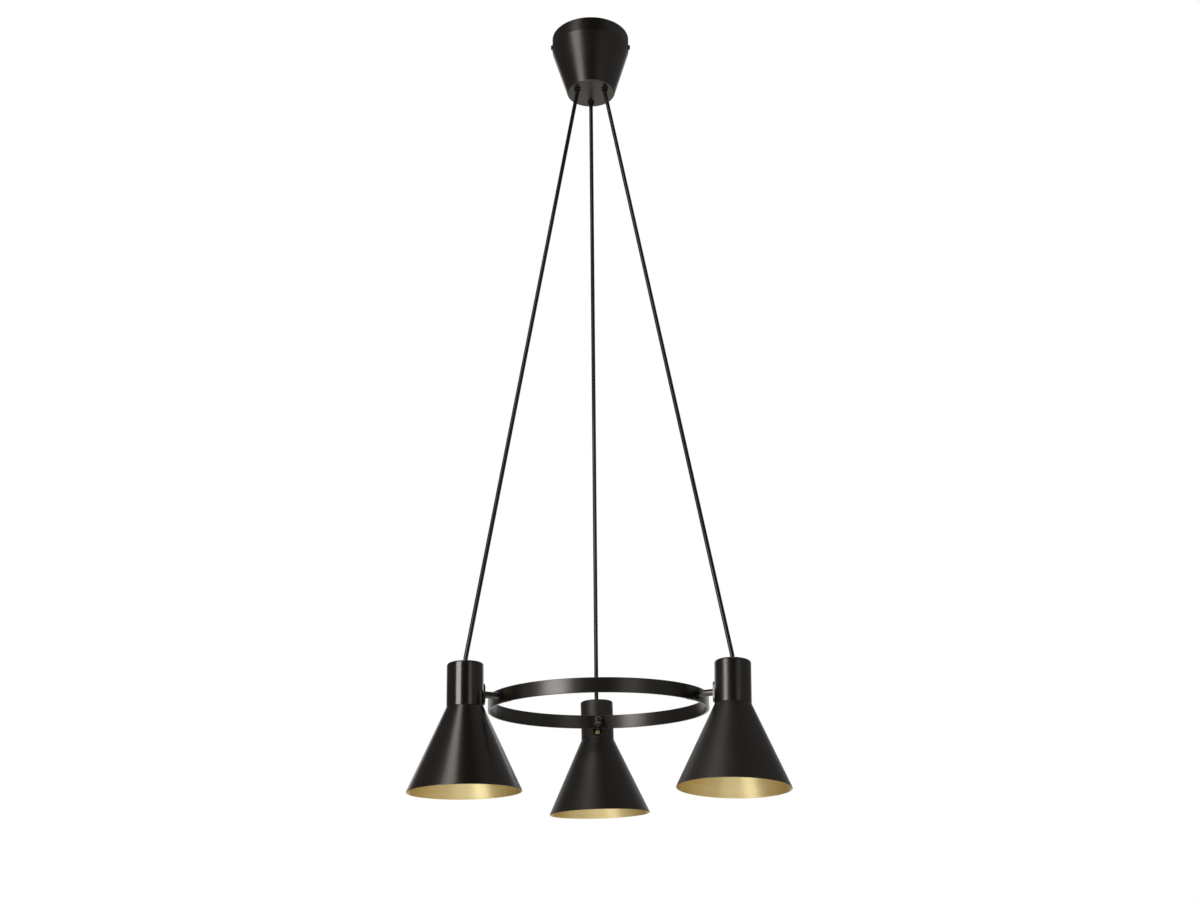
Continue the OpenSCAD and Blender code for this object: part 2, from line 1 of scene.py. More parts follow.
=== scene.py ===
# %% [markdown]
# # A ring pendant lamp
# Three cone shades stand on short stems around a flat ring, and three cords hang the whole from a ceiling
# cup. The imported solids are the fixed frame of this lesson. They are loaded first, and every new piece is
# modelled around them, in metres and in the same place, so nothing has to be fitted afterwards.

# %% Load the frame
import json
import math

import bpy
from mathutils import Matrix, Vector


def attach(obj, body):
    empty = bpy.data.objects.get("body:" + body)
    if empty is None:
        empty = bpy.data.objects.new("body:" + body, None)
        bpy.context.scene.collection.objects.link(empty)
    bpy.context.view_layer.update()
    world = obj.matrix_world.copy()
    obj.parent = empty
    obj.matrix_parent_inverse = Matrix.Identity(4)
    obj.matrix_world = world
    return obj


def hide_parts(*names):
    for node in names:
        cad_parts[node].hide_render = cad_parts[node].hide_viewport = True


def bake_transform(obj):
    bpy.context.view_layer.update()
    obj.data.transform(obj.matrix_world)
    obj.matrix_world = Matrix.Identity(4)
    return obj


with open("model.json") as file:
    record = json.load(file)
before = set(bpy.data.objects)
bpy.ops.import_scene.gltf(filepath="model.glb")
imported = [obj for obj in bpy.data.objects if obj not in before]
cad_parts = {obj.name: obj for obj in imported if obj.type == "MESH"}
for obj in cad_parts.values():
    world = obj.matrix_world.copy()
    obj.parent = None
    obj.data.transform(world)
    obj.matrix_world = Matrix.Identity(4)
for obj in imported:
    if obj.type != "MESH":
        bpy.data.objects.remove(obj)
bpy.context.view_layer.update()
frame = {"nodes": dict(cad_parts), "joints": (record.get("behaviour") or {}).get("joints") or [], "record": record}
nodes = frame["nodes"]
bpy.ops.object.select_all(action="DESELECT")

# %% [markdown]
# ## The camera
# The photograph was taken from below the ring, looking up at about twenty degrees, and rolled by less than
# one. These values come from fitting a plain pinhole camera to the edges of the ring, the shades and the
# cup. A camera can be aimed with a constraint, but then its roll is hard to set, so it is turned here in
# three plain steps: pan about Z, tilt about X and roll about its own line of sight.

# %% Camera
MM = 0.001
PHOTO_W = 1200
SENSOR_MM = 36
FOCAL_PX = 1431.3
camera_place = Vector((-21.9, -1947.2, -1397.4)) * MM
camera_pan = math.radians(-0.84)
camera_tilt = math.radians(90 + 19.69)
camera_roll = math.radians(-0.77)

bpy.ops.object.camera_add()
camera = bpy.context.object
camera.name = "photo_camera"
camera.data.sensor_fit = "HORIZONTAL"
camera.data.sensor_width = SENSOR_MM
camera.data.lens = FOCAL_PX * SENSOR_MM / PHOTO_W
camera.matrix_world = (
    Matrix.Translation(camera_place)
    @ Matrix.Rotation(camera_pan, 4, "Z")
    @ Matrix.Rotation(camera_tilt, 4, "X")
    @ Matrix.Rotation(camera_roll, 4, "Z")
)
bpy.context.scene.camera = camera
print("camera with a lens of", round(camera.data.lens, 2), "mm")

# %% [markdown]
# ## Where the shades sit
# A shade turns on its stem, so it has a frame of its own: X runs out along the stem, Z runs up the shade's
# axis, and the origin is where the two cross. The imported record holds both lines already, as the hinge's
# axis and the socket's axis. The frame is read from there, so that it follows the solids.

# %% Frames of the shades
SIDES = ("left", "right", "back")
joints = {joint["name"]: joint for joint in frame["joints"]}
mounts = {mount["name"]: mount for mount in frame["record"]["mounts"]}


def shade_frame(side):
    """The matrix from a shade's own frame to the lamp's."""
    hinge = joints[f"{side}_shade_tilt"]
    socket = mounts[f"socket_{side}"]
    out = Vector(hinge["axis"]).normalized()
    up = -Vector(socket["axis"]).normalized()
    rise = (hinge["pos_m"][2] - socket["pos_m"][2]) / up.z
    placed = Matrix((out, up.cross(out), up)).transposed().to_4x4()
    placed.translation = Vector(socket["pos_m"]) + rise * up
    return placed


shade_frames = {side: shade_frame(side) for side in SIDES}
for side in SIDES:
    print(side, "shade at", [round(x, 4) for x in shade_frames[side].translation])

# %% [markdown]
# ## The cords
# Each cord is a round sheath of six millimetres, held in a bush in the cup's base and again in the gland
# of its neck, and the weight of the lamp pulls it straight. Its route repeats the solids' own: out of the
# bush, a small bend, the straight run, a small bend, and down into the lamp holder. A bevelled curve gives
# the round section, and it is then made a mesh.
#
# The route is cut in two, because a piece can bend across one joint only. The route is cut in two: a long
# run from the cup, and a short tail above the gland.

# %% Straight runs of the cords
cord_d = 6 * MM
cord_circle_r = 25 * MM
cord_high_z = -105.5 * MM
gland_top_z = 41 * MM
cord_low_z = gland_top_z + 3 * MM


def hole_point(side, z):
    """A point on the axis of a cord's hole in the cup's base."""
    out = Vector(joints[f"{side}_shade_tilt"]["axis"])
    return cord_circle_r * out + Vector((0, 0, z))


def cord_run(side):
    """The two ends of a cord's straight run."""
    low = shade_frames[side] @ Vector((0, 0, cord_low_z))
    return hole_point(side, cord_high_z), low


def path_length(path):
    """The length of a path along its points."""
    return sum((b - a).length for a, b in zip(path, path[1:]))


for side in SIDES:
    print(side, "cord runs straight for", round(path_length(cord_run(side)), 3), "m")

# %% Routes of the cords
cord_split_z = -99 * MM
cord_foot_z = 7 * MM
bend_reach = 6 * MM
bend_shares = (0, 0.25, 0.5, 0.75, 1)
cord_shares = (0.05, 0.1, 0.2, 0.3, 0.4, 0.5, 0.6, 0.7, 0.8, 0.9, 0.95)
tail_share = 0.9


def bend(before, corner, after):
    """A corner between two straight runs, rounded over the same reach on each."""
    p = corner + bend_reach * (before - corner).normalized()
    q = corner + bend_reach * (after - corner).normalized()
    return [(1 - s) ** 2 * p + 2 * s * (1 - s) * corner + s * s * q for s in bend_shares]


def cord_route(side):
    """The points of the long run and of the tail of one cord, from the cup to the lamp holder."""
    top = hole_point(side, cord_split_z)
    high, low = cord_run(side)
    foot = shade_frames[side] @ Vector((0, 0, cord_foot_z))
    straight = {s: high.lerp(low, s) for s in cord_shares}
    run = [top, *bend(top, high, low), *[p for s, p in straight.items() if s <= tail_share]]
    tail = [*[p for s, p in straight.items() if s >= tail_share], *bend(high, low, foot), foot]
    return run, tail


def spaced(route, step):
    """The route's points with more between them, so that a tube can bend along its whole length."""
    path = []
    for a, b in zip(route, route[1:]):
        parts = max(1, round((b - a).length / step))
        path += [a.lerp(b, k / parts) for k in range(parts)]
    return [*path, route[-1]]


for side in SIDES:
    print(side, "cord's run and tail have", [len(part) for part in cord_route(side)], "points")

# %% Tubes along a path
SMOOTH_ANGLE = math.radians(35)
CORD_ROUNDNESS = 10


def smooth(piece, angle=SMOOTH_ANGLE):
    """Shades a piece smooth, with crisp lines where its faces meet at more than the angle."""
    bpy.ops.object.select_all(action="DESELECT")
    piece.select_set(True)
    bpy.context.view_layer.objects.active = piece
    bpy.ops.object.shade_smooth_by_angle(angle=angle)
    return piece


def tube(name, path, diameter, roundness=CORD_ROUNDNESS):
    """A round mesh tube with closed ends that follows the points of a path."""
    curve = bpy.data.curves.new(name, "CURVE")
    curve.dimensions = "3D"
    curve.bevel_depth = diameter / 2
    curve.bevel_resolution = roundness
    curve.use_fill_caps = True
    spline = curve.splines.new("POLY")
    spline.points.add(len(path) - 1)
    for point, place in zip(spline.points, path):
        point.co = (*place, 1)
    piece = bpy.data.objects.new(name, curve)
    bpy.context.scene.collection.objects.link(piece)
    bpy.ops.object.select_all(action="DESELECT")
    piece.select_set(True)
    bpy.context.view_layer.objects.active = piece
    bpy.ops.object.convert(target="MESH")
    return smooth(bpy.context.object)


# %% Long runs and tails
run_step = 3 * cord_d
tail_step = cord_d

cords = []
for side in SIDES:
    run, tail = cord_route(side)
    run = spaced(run, run_step)
    tail = spaced(tail, tail_step)

    cord = tube(f"{side}_cord_run", run, cord_d)
    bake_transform(cord)
    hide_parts(f"{side}_cord")
    path_length(run)

    end = tube(f"{side}_cord_tail", tail, cord_d)
    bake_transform(end)
    path_length(tail)
    cords += [cord, end]
    print(side, "cord:", round(path_length(run), 3), "m of run and", round(path_length(tail), 3), "m of tail")

# %% [markdown]
# ## Inside the cup
# Above the bushes the sheaths end, and from each cord three thin leads climb to the terminal block: one
# brown, one blue, one green and yellow. They can be seen from above, between the rim and the bracket. The
# three tubes of a colour are made apart and then joined, because they stand for one group in the solids.

# %% Sheath ends and leads
cord_top_z = -80 * MM
lead_d = 1.2 * MM
lead_roundness = 4
core_pitch = 1.5 * MM
column_pitch = 9 * MM
row_pitch = 6 * MM
block_foot_z = -16 * MM
port_roof_z = block_foot_z + 8 * MM
lead_rise = 14 * MM
COLUMNS = {"left": -1, "right": 1, "back": 0}
ROWS = {"live": -1, "neutral": 0, "earth": 1}


def joined(name, pieces):
    """Several meshes as one piece."""
    bpy.ops.object.select_all(action="DESELECT")
    for piece in pieces:
        piece.select_set(True)
    bpy.context.view_layer.objects.active = pieces[0]
    bpy.ops.object.join()
    pieces[0].name = name
    return pieces[0]


def lead_path(side, row):
    """From the end of a sheath up into its port in the terminal block."""
    start = hole_point(side, cord_top_z) + Vector((0, row * core_pitch, 0))
    port = Vector((COLUMNS[side] * column_pitch, row * row_pitch, port_roof_z))
    low = start + Vector((0, 0, lead_rise))
    high = Vector((port.x, port.y, block_foot_z - lead_rise))
    return [start, *bend(start, low, high), *bend(low, high, port), port]


sheaths = []
for side in SIDES:
    path = [hole_point(side, cord_top_z), hole_point(side, cord_split_z)]
    sheaths.append(tube(f"{side}_sheath_end", spaced(path, cord_d), cord_d))
sheath_ends = joined("sheath_ends", sheaths)
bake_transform(sheath_ends)
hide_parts("cord_tops")
cords.append(sheath_ends)

leads = {}
for wire, row in ROWS.items():
    pieces = [tube(f"{side}_{wire}", lead_path(side, row), lead_d, lead_roundness) for side in SIDES]
    leads[wire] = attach(joined(f"{wire}_wires", pieces), "canopy")
    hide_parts(f"{wire}_leads")
    print(wire, "leads of", round(path_length(lead_path("left", row)), 3), "m")

# %% [markdown]
# ## Turned shapes
# The shades, their linings and the rings that clamp them are all turned shapes: one outline, swept once
# around an axis. On the lathe that is spinning sheet metal over a former. Here the outline is drawn in edit
# mode, point by point, each pulled out of the last, and then spun. The start and end of a full spin lie on
# each other, so doubles are merged, and only then are the normals made to point outwards.
#
# A repeated piece is modelled once, standing on the origin. Each copy is then set in its shade's frame and
# has that place applied to its mesh, so that its object stays at the origin like the solids do.

# %% Outlines and spinning
WELD = 0.002 * MM


def drawn(name, points):
    """A line of edges through points of (radius, height), drawn in the XZ plane."""
    bpy.ops.object.select_all(action="DESELECT")
    bpy.ops.mesh.primitive_plane_add()
    line = bpy.context.object
    line.name = name
    bpy.ops.object.mode_set(mode="EDIT")
    bpy.ops.mesh.merge(type="CENTER")
    bpy.ops.transform.translate(value=(points[0][0], 0, points[0][1]))
    for (r, z), (next_r, next_z) in zip(points, points[1:]):
        step = (next_r - r, 0, next_z - z)
        bpy.ops.mesh.extrude_region_move(TRANSFORM_OT_translate={"value": step})
    bpy.ops.object.mode_set(mode="OBJECT")
    return line


def turned(name, outline, steps):
    """A closed piece, spun about Z from a closed outline."""
    piece = drawn(name, [*outline, outline[0]])
    bpy.ops.object.mode_set(mode="EDIT")
    bpy.ops.mesh.select_all(action="SELECT")
    bpy.ops.mesh.spin(steps=steps, angle=2 * math.pi, center=(0, 0, 0), axis=(0, 0, 1))
    bpy.ops.mesh.select_all(action="SELECT")
    bpy.ops.mesh.remove_doubles(threshold=WELD)
    bpy.ops.mesh.normals_make_consistent(inside=False)
    bpy.ops.object.mode_set(mode="OBJECT")
    return smooth(piece)


# %% Copies for each shade
def copied(model, name, matrix):
    """A copy of a model with its own mesh, set in its place."""
    bpy.ops.object.select_all(action="DESELECT")
    model.select_set(True)
    bpy.context.view_layer.objects.active = model
    bpy.ops.object.duplicate()
    piece = bpy.context.object
    piece.name = name
    piece.data.name = name
    piece.matrix_world = matrix
    bpy.ops.object.transform_apply(location=True, rotation=True, scale=True)
    return piece


def on_each_shade(model, ending, node=None):
    """One copy of a model in every shade, in place of the solid where one is named. The model goes."""
    pieces = {}
    for side in SIDES:
        piece = copied(model, f"{side}_{ending}", shade_frames[side])
        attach(piece, f"{side}_shade")
        if node:
            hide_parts(f"{side}_{node}")
        pieces[side] = piece
    faces = len(model.data.polygons)
    bpy.data.objects.remove(model)
    print(ending, "on", len(pieces), "shades, each of", faces, "faces")
    return pieces


# %% [markdown]
# ## The cone shades
# Each cone is spun sheet, lacquered black outside and left bare brass inside. Seen from below, the two
# finishes meet at the mouth, where the edge is dressed round. One solid could carry both colours with a
# mask, but the edge would then stay square. So the wall is made as two shells that lie on each other: the
# skin, which has the seat inside the neck and wraps round the edge, and the lining, which ends there.
# A small round on the shoulder leaves the fine dark line that shows where the neck stands on the cone.
#
# Smooth shading leans a face towards its neighbours, along its whole length. On a cone drawn with one long
# face from shoulder to mouth, the small rounds at both ends would make the highlight fade. So a ring of
# points close beside each round holds the shading of the slope straight.

# %% Outline of the wall
seat_r = 17.8 * MM
collar_r = 22.6 * MM
collar_top_z = -15 * MM
shoulder_z = -18.5 * MM
shoulder_round = 0.5 * MM
neck_r = 24 * MM
mouth_r = 73.5 * MM
mouth_z = -125.5 * MM
wall = 1 * MM
lining_share = 0.4
throat_z = -20 * MM
flare_z = -21.5 * MM

slope = Vector((mouth_r - neck_r, mouth_z - shoulder_z)).normalized()
facing = Vector((-slope.y, slope.x))


def on_slope(z, depth=0.0):
    """The point of the cone's outside at a height, or that far under it."""
    outside = Vector((neck_r, shoulder_z)) + slope * ((z - shoulder_z) / slope.y)
    return outside - depth * facing


def arc(centre, radius, start, end, parts):
    """Points on an arc from one direction of the outline's plane to another, in degrees."""
    turns = [math.radians(start + (end - start) * k / parts) for k in range(parts + 1)]
    return [centre + radius * Vector((math.cos(turn), math.sin(turn))) for turn in turns]


print("the cone's half angle is", round(math.degrees(math.atan2(slope.x, -slope.y)), 2), "degrees")

# %% Skins and linings
CONE_STEPS = 128
lip_r = wall / 2
lip_middle = on_slope(mouth_z + lip_r + lip_r * facing.y, lip_r)
facing_angle = math.degrees(math.atan2(facing.y, facing.x))
lip_wrap = 115
lip_split = facing_angle - lip_wrap
lip_parts = 6
bed = lining_share * wall
hold = 0.3 * MM
above_lip = lip_middle - hold * slope

shoulder = [
    Vector((neck_r - shoulder_round / 2, shoulder_z)),
    on_slope(shoulder_z - shoulder_round),
    on_slope(shoulder_z - shoulder_round - hold),
]
inside = [
    Vector((seat_r, collar_top_z - wall)),
    Vector((collar_r - wall, collar_top_z - wall)),
    Vector((collar_r - wall, throat_z)),
    on_slope(flare_z, wall),
    on_slope(flare_z - hold, wall),
    above_lip - lip_r * facing,
]
between = [
    Vector((seat_r, collar_top_z - wall + bed)),
    Vector((collar_r - wall + bed, collar_top_z - wall + bed)),
    Vector((collar_r - wall + bed, throat_z + bed)),
    on_slope(flare_z, wall - bed),
    lip_middle + (bed - lip_r) * facing,
]

skin = turned("skin", [
    Vector((seat_r, collar_top_z)),
    Vector((collar_r, collar_top_z)),
    Vector((collar_r, shoulder_z)),
    *shoulder,
    above_lip + lip_r * facing,
    *arc(lip_middle, lip_r, facing_angle, lip_split, lip_parts),
    *reversed(between),
], CONE_STEPS)
lining = turned("lining", [
    *between,
    *arc(lip_middle, lip_r, lip_split, facing_angle - 180, lip_parts // 2),
    *reversed(inside),
], CONE_STEPS)
skins = on_each_shade(skin, "shade_skin", "cone_shade")
linings = on_each_shade(lining, "shade_lining")

# %% [markdown]
# ## The lamp holders
# From below one looks straight into the holders. The shell that takes the bulb is thin brass, rolled into a
# round thread: a wave that climbs one pitch per turn. A Screw modifier winds one wave of the outline up the
# axis, two bisects trim the ends level, and Solidify gives the sheet its thickness.
#
# The ring nut under each cone is moulded plastic with grip ribs. It is spun with four faces to a rib, and
# every other pair of its outer faces is pulled out.

# %% Rolled screw shells
shell_pitch = 3.6 * MM
shell_crest_r = 12.3 * MM
shell_root_r = 13.2 * MM
shell_foot_z = -28 * MM
shell_top_z = -5 * MM
shell_sheet = 0.35 * MM
wave_parts = 10
shell_steps = 64

wave_mid = (shell_root_r + shell_crest_r) / 2
wave_rise = (shell_root_r - shell_crest_r) / 2
wave = [
    (wave_mid - wave_rise * math.cos(2 * math.pi * k / wave_parts), shell_pitch * k / wave_parts)
    for k in range(wave_parts + 1)
]
turns = math.ceil((shell_top_z - shell_foot_z) / shell_pitch) + 1
foot = shell_foot_z - shell_pitch
shell = drawn("shell", [(r, foot + z) for r, z in wave])
winding = shell.modifiers.new("winding", "SCREW")
winding.axis = "Z"
winding.angle = 2 * math.pi
winding.screw_offset = shell_pitch
winding.iterations = turns
winding.steps = shell_steps
winding.render_steps = shell_steps
winding.use_merge_vertices = True
bpy.ops.object.modifier_apply(modifier=winding.name)

bpy.ops.object.mode_set(mode="EDIT")
for height, keep_up in ((shell_foot_z, True), (shell_top_z, False)):
    bpy.ops.mesh.select_all(action="SELECT")
    bpy.ops.mesh.bisect(plane_co=(0, 0, height), plane_no=(0, 0, 1),
                        clear_inner=keep_up, clear_outer=not keep_up)
bpy.ops.mesh.select_all(action="SELECT")
bpy.ops.mesh.remove_doubles(threshold=WELD)
bpy.ops.mesh.normals_make_consistent(inside=False)
bpy.ops.object.mode_set(mode="OBJECT")

thickness = shell.modifiers.new("thickness", "SOLIDIFY")
thickness.thickness = shell_sheet
thickness.offset = 1
bpy.ops.object.modifier_apply(modifier=thickness.name)
shells = on_each_shade(smooth(shell), "rolled_shell", "screw_shell")

# %% Ribbed ring nuts
ring_bore_r = 17.53 * MM
ring_r = 21 * MM
ring_top_z = -16 * MM
ring_foot_z = -21 * MM
ring_edge = 0.5 * MM
rib_h = 0.45 * MM
rib_count = 36
faces_per_rib = 4
facing_out = 0.9

rib_base_r = ring_r - rib_h
nut = turned("nut", [
    Vector((ring_bore_r, ring_top_z)),
    Vector((rib_base_r, ring_top_z)),
    Vector((rib_base_r, ring_foot_z + ring_edge)),
    Vector((rib_base_r - ring_edge, ring_foot_z)),
    Vector((ring_bore_r + ring_edge, ring_foot_z)),
    Vector((ring_bore_r, ring_foot_z + ring_edge)),
], rib_count * faces_per_rib)

for face in nut.data.polygons:
    angle = math.atan2(face.center.y, face.center.x) / (2 * math.pi) % 1
    on_rib = int(angle * rib_count * faces_per_rib) % faces_per_rib < faces_per_rib / 2
    outer = face.normal.x * face.center.x + face.normal.y * face.center.y > facing_out * rib_base_r
    face.select = on_rib and outer
bpy.ops.object.mode_set(mode="EDIT")
bpy.ops.mesh.select_mode(type="FACE")
bpy.ops.mesh.extrude_region_shrink_fatten(TRANSFORM_OT_shrink_fatten={"value": rib_h})
bpy.ops.mesh.select_mode(type="VERT")
bpy.ops.object.mode_set(mode="OBJECT")
nuts = on_each_shade(smooth(nut), "ribbed_nut", "shade_ring")

# %% [markdown]
# ## The dome nuts
# Inside the ring each stem ends in a dome nut: a hexagon whose corners are turned off at thirty degrees,
# with a round cap on it. A nut is made from hexagonal bar on a lathe, and three Booleans do the same here:
# the bar keeps what lies inside a turned blank, the cap is added, and the threaded hole is drilled. The
# place of the seat is measured on the solid, along the stem.

# %% Blank, cap and hole of a dome nut
dome_nut_flats = 13 * MM
dome_nut_hex_h = 6.5 * MM
dome_nut_h = 15 * MM
dome_step = 0.3 * MM
hexagon_half = math.pi / 6
corner_slope = math.radians(30)
dome_r = dome_nut_flats / 2 - dome_step
dome_nut_corner_r = dome_nut_flats / 2 / math.cos(hexagon_half)
corner_cut = (dome_nut_corner_r - dome_r) * math.tan(corner_slope)
nut_hole_r = 4.03 * MM
nut_hole_depth = 8.5 * MM
dome_steps = 64

blank = turned("blank", [
    Vector((0, 0)),
    Vector((dome_r, 0)),
    Vector((dome_nut_corner_r, corner_cut)),
    Vector((dome_nut_corner_r, dome_nut_hex_h - corner_cut)),
    Vector((dome_r, dome_nut_hex_h)),
    Vector((0, dome_nut_hex_h)),
], dome_steps)
cap = turned("cap", [
    Vector((0, dome_nut_hex_h / 2)),
    Vector((dome_r, dome_nut_hex_h / 2)),
    *arc(Vector((0, dome_nut_h - dome_r)), dome_r, 0, 90, dome_steps // 4),
], dome_steps)
hole = turned("hole", [
    Vector((0, -WELD)),
    Vector((nut_hole_r, -WELD)),
    Vector((nut_hole_r, nut_hole_depth)),
    Vector((0, nut_hole_depth)),
], dome_steps)
print("the corners are turned off by", round(corner_cut / MM, 2), "mm")

# %% Dome nuts
nut_crease = math.radians(20)


def cut_with(piece, tool, operation):
    """Joins a piece with another mesh by a Boolean. The other mesh goes."""
    bpy.ops.object.select_all(action="DESELECT")
    bpy.context.view_layer.objects.active = piece
    boolean = piece.modifiers.new(operation, "BOOLEAN")
    boolean.operation = operation
    boolean.object = tool
    bpy.ops.object.modifier_apply(modifier=boolean.name)
    bpy.data.objects.remove(tool)


bpy.ops.object.select_all(action="DESELECT")
bpy.ops.mesh.primitive_cylinder_add(vertices=6, radius=dome_nut_corner_r, depth=dome_nut_hex_h,
                                    location=(0, 0, dome_nut_hex_h / 2), rotation=(0, 0, hexagon_half))
dome_nut = bpy.context.object
dome_nut.name = "dome_nut"
bpy.ops.object.transform_apply(location=True, rotation=True, scale=True)
cut_with(dome_nut, blank, "INTERSECT")
cut_with(dome_nut, cap, "UNION")
cut_with(dome_nut, hole, "DIFFERENCE")

into_shade = shade_frames["left"].inverted()
along_stem = [(into_shade @ vertex.co).x for vertex in nodes["left_dome_nut"].data.vertices]
dome_nut_seat = max(along_stem)
towards_ring = Matrix.Rotation(math.radians(-90), 4, "Y")
dome_nut.matrix_world = Matrix.Translation((dome_nut_seat, 0, 0)) @ towards_ring
dome_nut.select_set(True)
bpy.ops.object.transform_apply(location=True, rotation=True, scale=True)
print("dome nuts seated", round(-dome_nut_seat / MM, 2), "mm from the shade's axis, the solid's tip at",
      round(-min(along_stem) / MM, 2), "mm")
dome_nuts = on_each_shade(smooth(dome_nut, nut_crease), "capped_nut", "dome_nut")

# %% [markdown]
# ## Writing finishes
# A finish is a small graph of shader nodes. To keep each one readable, a wire stands for one output of a
# node, and Python's own signs join wires: a sum of two wires adds a Math node. Anything else comes from one
# method, which takes the node's type, its settings, and what goes into its sockets.

# %% Wires
class Wire:
    """One output of a shader node."""

    def __init__(self, tree, socket=None):
        self.tree = tree
        self.socket = socket

    def node(self, kind, settings=None, inputs=None, output=0):
        """A new node: settings first, then the values or wires of its inputs."""
        made = self.tree.nodes.new(kind)
        for name, value in (settings or {}).items():
            setattr(made, name, value)
        for key, value in (inputs or {}).items():
            if isinstance(value, Wire):
                self.tree.links.new(value.socket, made.inputs[key])
            else:
                made.inputs[key].default_value = value
        return Wire(self.tree, made.outputs[output] if made.outputs else None)

    def other(self, output):
        """Another output of the same node."""
        return Wire(self.tree, self.socket.node.outputs[output])

    def math(self, operation, a, b):
        """A Math node on two values or wires."""
        return self.node("ShaderNodeMath", {"operation": operation}, {0: a, 1: b})

    def __add__(self, other):
        return self.math("ADD", self, other)

    def __sub__(self, other):
        return self.math("SUBTRACT", self, other)

    def __rsub__(self, other):
        return self.math("SUBTRACT", other, self)

    def __mul__(self, other):
        return self.math("MULTIPLY", self, other)

    def __truediv__(self, other):
        return self.math("DIVIDE", self, other)

    def __rtruediv__(self, other):
        return self.math("DIVIDE", other, self)

    def __pow__(self, other):
        return self.math("POWER", self, other)

    def __rpow__(self, other):
        return self.math("POWER", other, self)

    def __gt__(self, other):
        return self.math("GREATER_THAN", self, other)

    __radd__ = __add__
    __rmul__ = __mul__


# %% Start and end of a finish
def new_finish(name):
    """An empty material and the wire that its nodes start from."""
    material = bpy.data.materials.new(name)
    material.use_nodes = True
    material.node_tree.nodes.clear()
    return material, Wire(material.node_tree)


def finished(material, start, sockets):
    """Ends a material in one Principled shader."""
    shader = start.node("ShaderNodeBsdfPrincipled", {}, sockets)
    start.node("ShaderNodeOutputMaterial", {}, {"Surface": shader})
    return material


def mixed(share, a, b):
    """Two colours mixed by a wire."""
    A, B, RESULT = 6, 7, 2
    settings = {"data_type": "RGBA", "clamp_factor": True}
    return share.node("ShaderNodeMix", settings, {0: share, A: (*a, 1), B: (*b, 1)}, RESULT)


# %% [markdown]
# ## Patterns
# The patterns are noise on the object's own coordinates, in metres, so a grain keeps its real size on every
# piece. Lines left by a tool on a lathe run around the work. They are noise too, drawn out around an axis:
# stretched over the run of a line, and narrow along the outline, where one line follows the next.

# %% Patterns
def object_place(start, axes=None):
    """Places on the object, in the lamp's frame or in a frame of their own."""
    place = start.node("ShaderNodeTexCoord", output="Object")
    if axes is None:
        return place
    inputs = {"Vector": place, "Location": axes.translation, "Rotation": axes.to_euler()}
    return start.node("ShaderNodeMapping", {"vector_type": "TEXTURE"}, inputs)


PLAIN_DETAIL = 2.0
RICH_DETAIL = 4.0


def grain(place, size, detail=PLAIN_DETAIL):
    """Noise with grains of a size, smooth or with finer grains on them."""
    return place.node("ShaderNodeTexNoise", {}, {"Vector": place, "Scale": 1 / size, "Detail": detail})


def lines_around(place, spacing, run):
    """Lines around the Z axis, that far apart along the outline, each fading in and out over its run."""
    x = place.node("ShaderNodeSeparateXYZ", {}, {0: place})
    y = x.other("Y")
    along = x.other("Z") - (x * x + y * y) ** 0.5
    drawn_out = place.node("ShaderNodeCombineXYZ", {}, {0: x / run, 1: y / run, 2: along / spacing})
    return place.node("ShaderNodeTexNoise", {}, {"Vector": drawn_out, "Scale": 1.0, "Detail": PLAIN_DETAIL})


def above(wire, level):
    """What rises above a level, so that only the strongest lines are left."""
    return wire.math("MAXIMUM", wire - level, 0.0)


def bump(height):
    """A normal from a height in metres."""
    return height.node("ShaderNodeBump", {}, {"Strength": 1.0, "Distance": 1.0, "Height": height})


# %% [markdown]
# ## The lacquer
# The black is a thin satin lacquer over spun metal, a little warm. The tool's lines show through it: fine
# ones that only soften the highlight, and broader bands that can be seen on the cones. Both run around the
# piece's own axis, so the finish is made anew for each axis. Handling leaves faint cloudy patches.
#
# Each piece was sprayed by itself, and the photograph shows that their gloss differs: the left shade has the
# sharpest highlight, and the back one the dullest. So the roughness is given for each piece.

# %% Lacquer
DEEP_BLACK = (0.0052, 0.0031, 0.0013)
WORN_BLACK = (0.0078, 0.0049, 0.0024)
WARM_SHINE = (1.0, 0.94, 0.88, 1)
fine_spacing = 0.35 * MM
fine_run = 120 * MM
fine_depth = 0.0004 * MM
score_spacing = 1.8 * MM
score_run = 300 * MM
score_depth = 0.0045 * MM
score_level = 0.6
cloud_size = 35 * MM


def lacquer(name, roughness, axes=None):
    """Satin black with the tool's lines around the Z axis of a frame."""
    material, start = new_finish(name)
    place = object_place(start, axes)
    fine = lines_around(place, fine_spacing, fine_run) - 0.5
    scored = above(lines_around(place, score_spacing, score_run), score_level)
    cloud = grain(place, cloud_size) - 0.5
    return finished(material, start, {
        "Base Color": mixed(scored * 2.0 + cloud + 0.5, DEEP_BLACK, WORN_BLACK),
        "Roughness": roughness + 0.04 * fine + 0.22 * scored + 0.05 * cloud,
        "Normal": bump(fine * fine_depth + scored * score_depth),
        "Specular IOR Level": 1.0,
        "Specular Tint": WARM_SHINE,
    })


CONE_ROUGHNESS = {"left": 0.25, "right": 0.46, "back": 0.46}
NECK_ROUGHNESS = {"left": 0.18, "right": 0.29, "back": 0.52}
stem_roughness = 0.18
canopy_roughness = 0.31
ring_roughness = 0.30
lengthwise = Matrix.Rotation(math.radians(90), 4, "Y")

